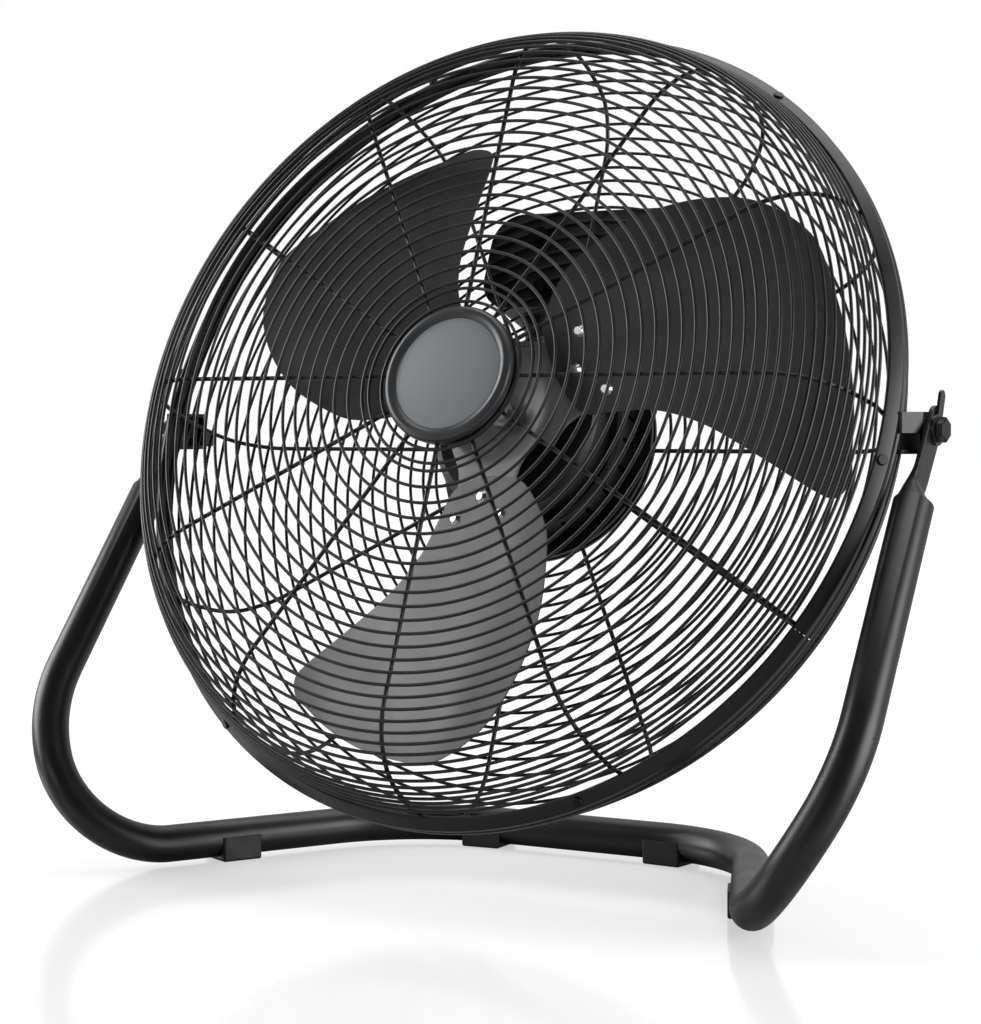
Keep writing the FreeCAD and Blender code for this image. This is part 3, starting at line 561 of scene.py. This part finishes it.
def blade_part(degrees):
    """One blade: its outline filled with a triangle grid, lifted to both faces and closed at the edge."""
    tip_angles = [math.radians(a) for a in BLADE_TIP_ANGLES]
    tip = [(BLADE_TIP * math.cos(a), BLADE_TIP * math.sin(a)) for a in tip_angles]
    outline = closed_curve(BLADE_LEADING + tip + BLADE_TRAILING, 9)
    points = list(outline)
    low_x, high_x = min(p.x for p in outline), max(p.x for p in outline)
    low_y, high_y = min(p.y for p in outline), max(p.y for p in outline)
    for i in range(int((high_x - low_x) / GRID_STEP) + 1):
        for j in range(int((high_y - low_y) / GRID_STEP) + 1):
            shift = 0.5 * GRID_STEP * (j % 2)
            point = Vector((low_x + i * GRID_STEP + shift, low_y + j * GRID_STEP))
            if inside(point, outline):
                points.append(point)
    count = len(outline)
    edges = [(k, (k + 1) % count) for k in range(count)]
    filled = delaunay_2d_cdt(points, edges, [], 1, 1e-4)
    flat = filled[0]
    triangles = filled[2]
    placed = turned(degrees)
    total = len(flat)
    vertices = [placed @ Vector((p.x, p.y, blade_height(p.x, p.y) + BLADE_HALF)) for p in flat]
    vertices += [placed @ Vector((p.x, p.y, blade_height(p.x, p.y) - BLADE_HALF)) for p in flat]
    faces = [tuple(t) for t in triangles] + [tuple(total + k for k in reversed(t)) for t in triangles]
    uses = {}
    for triangle in triangles:
        for a, b in zip(triangle, triangle[1:] + triangle[:1]):
            uses[frozenset((a, b))] = uses.get(frozenset((a, b)), 0) + 1
    for pair, times in uses.items():
        if times == 1:
            a, b = pair
            faces.append((a, b, total + b, total + a))
    return vertices, faces


for k in range(BLADE_COUNT):
    blade = blade_part(BLADE_START + 360 // BLADE_COUNT * k)
    make_piece("blade_sheet_" + str(k + 1), [blade], "blade_" + str(k + 1), sharp=50)

# ---------------------------------------------------------------- hub plate

HUB_FLOOR_Z = 18.75
HUB_FLOOR_RADIUS = 15.0
HUB_BLEND = (18.0, 50.0)
HUB_DISC_RADIUS = 41.0
HUB_DISH_SLOPE = 0.45
HUB_BORE = 5.1
HUB_FILLET = 6.0
HUB_TURNS = 360
HUB_LOOPS = 44
ARM_HALF = 24.6
ARM_END = 84.6
ARM_SHEET = 2.5
ARM_DEPTH = (BLADE_HALF + ARM_SHEET / 2) * math.hypot(1.0, BLADE_SLOPE)


def hub_height(radius, angle):
    """Middle surface of the plate: a dish at the centre that twists into three pitched arms."""
    t = smoothstep((radius - HUB_BLEND[0]) / (HUB_BLEND[1] - HUB_BLEND[0]))
    dish = HUB_FLOOR_Z + HUB_DISH_SLOPE * max(radius - HUB_FLOOR_RADIUS, 0.0)
    across = radius * math.sin(angle)
    arm = BLADE_Z + BLADE_SLOPE * across - ARM_DEPTH
    return dish * (1 - t) + arm * t


def hub_reach(angle):
    """How far the plate's edge stands from the centre, angle counted from the middle of an arm."""
    offset = abs(angle)
    corner = ARM_END - ARM_HALF
    across = math.sin(offset)
    along = math.cos(offset)
    side = ARM_HALF / across if across > 1e-6 else 1e6
    if side * along > corner:
        root = math.sqrt(max(ARM_HALF ** 2 - (corner * across) ** 2, 0.0))
        side = corner * along + root
    if offset > math.pi / 2:
        side = 0.0
    if side >= 70:
        return side
    return HUB_FILLET * math.log(math.exp(side / HUB_FILLET) + math.exp(HUB_DISC_RADIUS / HUB_FILLET))


def hub_part():
    """Plate with three arms: loops from the bore out to the edge, on both faces."""
    middle = []
    for i in range(HUB_LOOPS + 1):
        for j in range(HUB_TURNS):
            angle = 2 * math.pi * j / HUB_TURNS
            local = (angle + math.pi / 3) % (2 * math.pi / 3) - math.pi / 3
            radius = HUB_BORE + (hub_reach(local) - HUB_BORE) * i / HUB_LOOPS
            height = hub_height(radius, local)
            middle.append(Vector((radius * math.cos(angle), radius * math.sin(angle), height)))
    placed = turned(BLADE_START)
    vertices = []
    for shift in (ARM_SHEET / 2, -ARM_SHEET / 2):
        vertices += [placed @ (point + Vector((0, 0, shift))) for point in middle]
    total = len(middle)
    faces = []
    for i in range(HUB_LOOPS + 1):
        for j in range(HUB_TURNS):
            a = i * HUB_TURNS + j
            b = i * HUB_TURNS + (j + 1) % HUB_TURNS
            if i < HUB_LOOPS:
                faces.append((a, b, b + HUB_TURNS, a + HUB_TURNS))
                faces.append((total + a, total + a + HUB_TURNS, total + b + HUB_TURNS, total + b))
            if i in (0, HUB_LOOPS):
                faces.append((a, b, total + b, total + a))
    return vertices, faces


make_piece("hub_plate", [hub_part()], "hub_spider", sharp=50)

# ---------------------------------------------------------------- carried-over CAD nodes

EASED_NODES = ("clip_feet", "clamp_lever_left", "clamp_lever_right", "pivot_bracket_left",
               "pivot_bracket_right", "clamp_bolt_left", "clamp_bolt_right", "control_box",
               "control_box_cover", "speed_knob", "cable_gland")
EASE_WIDTH = 0.4

for node, obj in NODES.items():
    obj.data.materials.clear()
    obj.data.materials.append(finish_of(node))
for node in EASED_NODES:
    ease = NODES[node].modifiers.new("eased_edges", "BEVEL")
    ease.width = EASE_WIDTH * MM
    ease.segments = 3
    ease.limit_method = "ANGLE"
    ease.angle_limit = math.radians(40)

# ---------------------------------------------------------------- floor and light

NEAR_FLOOR_GLOW = 0.53
FAR_FLOOR_GLOW = 0.62
FLOOR_FADE = (0.5, 2.5)
BACK_GLOW = 0.55
FRONT_GLOW = 0.05
ROOM_FADE = (-0.15, 0.45)


def stage_material():
    """White glossy floor. Its own glow is seen by the camera only and grows away from the object."""
    material = bpy.data.materials.new("stage_white")
    material.use_nodes = True
    principled = material.node_tree.nodes["Principled BSDF"]
    principled.inputs["Base Color"].default_value = (0.50, 0.50, 0.50, 1.0)
    principled.inputs["Roughness"].default_value = 0.13
    principled.inputs["Specular IOR Level"].default_value = 0.6
    principled.inputs["Emission Color"].default_value = (1.0, 1.0, 1.0, 1.0)
    nodes = material.node_tree.nodes
    links = material.node_tree.links
    coords = nodes.new("ShaderNodeTexCoord")
    reach = nodes.new("ShaderNodeVectorMath")
    reach.operation = "LENGTH"
    fade = nodes.new("ShaderNodeMapRange")
    fade.inputs["From Min"].default_value = FLOOR_FADE[0]
    fade.inputs["From Max"].default_value = FLOOR_FADE[1]
    fade.inputs["To Min"].default_value = NEAR_FLOOR_GLOW
    fade.inputs["To Max"].default_value = FAR_FLOOR_GLOW
    path = nodes.new("ShaderNodeLightPath")
    glow = nodes.new("ShaderNodeMath")
    glow.operation = "MULTIPLY"
    links.new(coords.outputs["Object"], reach.inputs[0])
    links.new(reach.outputs["Value"], fade.inputs["Value"])
    links.new(path.outputs["Is Camera Ray"], glow.inputs[0])
    links.new(fade.outputs["Result"], glow.inputs[1])
    links.new(glow.outputs["Value"], principled.inputs["Emission Strength"])
    return material


bpy.ops.mesh.primitive_plane_add(size=30.0, location=(0.0, 0.0, 0.0))
floor = bpy.context.object
floor.name = "stage_floor"
floor.data.materials.append(stage_material())


def studio_world():
    """White paper behind the object and a dim room in front of it. The background itself is plain white."""
    world = bpy.data.worlds.new("studio")
    world.use_nodes = True
    nodes = world.node_tree.nodes
    links = world.node_tree.links
    nodes.clear()
    coords = nodes.new("ShaderNodeTexCoord")
    split = nodes.new("ShaderNodeSeparateXYZ")
    ramp = nodes.new("ShaderNodeMapRange")
    ramp.interpolation_type = "SMOOTHSTEP"
    ramp.inputs["From Min"].default_value = ROOM_FADE[0]
    ramp.inputs["From Max"].default_value = ROOM_FADE[1]
    ramp.inputs["To Min"].default_value = FRONT_GLOW
    ramp.inputs["To Max"].default_value = BACK_GLOW
    room = nodes.new("ShaderNodeBackground")
    paper = nodes.new("ShaderNodeBackground")
    path = nodes.new("ShaderNodeLightPath")
    mix = nodes.new("ShaderNodeMixShader")
    output = nodes.new("ShaderNodeOutputWorld")
    links.new(coords.outputs["Generated"], split.inputs["Vector"])
    links.new(split.outputs["Y"], ramp.inputs["Value"])
    links.new(ramp.outputs["Result"], room.inputs["Strength"])
    links.new(path.outputs["Is Camera Ray"], mix.inputs["Fac"])
    links.new(room.outputs["Background"], mix.inputs[1])
    links.new(paper.outputs["Background"], mix.inputs[2])
    links.new(mix.outputs["Shader"], output.inputs["Surface"])
    for shader in (room, paper):
        shader.inputs["Color"].default_value = (1.0, 1.0, 1.0, 1.0)
    return world


bpy.context.scene.world = studio_world()
bpy.context.scene.view_settings.view_transform = "Standard"


def softbox(name, place, target, width, height, glow):
    """A rectangular light that looks as bright as glow, where plain white is 1."""
    data = bpy.data.lights.new(name, "AREA")
    data.shape = "RECTANGLE"
    data.size = width
    data.size_y = height
    data.energy = glow * math.pi * width * height
    light = bpy.data.objects.new(name, data)
    bpy.context.scene.collection.objects.link(light)
    light.location = place
    light.rotation_euler = (Vector(target) - Vector(place)).to_track_quat("-Z", "Y").to_euler()


HEAD_CENTRE = (0.0, 0.0, 0.3)
softbox("overhead", (0.0, 0.8, 3.0), (0.0, 0.2, 0.0), 3.0, 2.4, 2.0)
softbox("right_strip", (2.4, 0.1, 0.6), HEAD_CENTRE, 1.7, 1.8, 5.5)
softbox("left_strip", (-2.1, -0.5, 1.1), HEAD_CENTRE, 1.5, 1.6, 6.0)
softbox("left_fill", (-2.1, -1.5, 0.4), HEAD_CENTRE, 0.6, 1.0, 1.5)
softbox("front_fill", (-0.75, -2.9, 0.9), HEAD_CENTRE, 1.1, 1.0, 1.4)

# ---------------------------------------------------------------- camera

CAMERA_PLACE = Vector((0.8096, -1.36475, 0.2866))
camera_data = bpy.data.cameras.new("camera")
camera_data.lens = 86.97
camera_data.sensor_width = 36.0
camera_data.shift_x = -0.0304
camera_data.shift_y = -0.0807
camera = bpy.data.objects.new("camera", camera_data)
bpy.context.scene.collection.objects.link(camera)
camera.location = CAMERA_PLACE
camera.rotation_euler = (PIVOT - CAMERA_PLACE).to_track_quat("-Z", "Y").to_euler()
bpy.context.scene.camera = camera
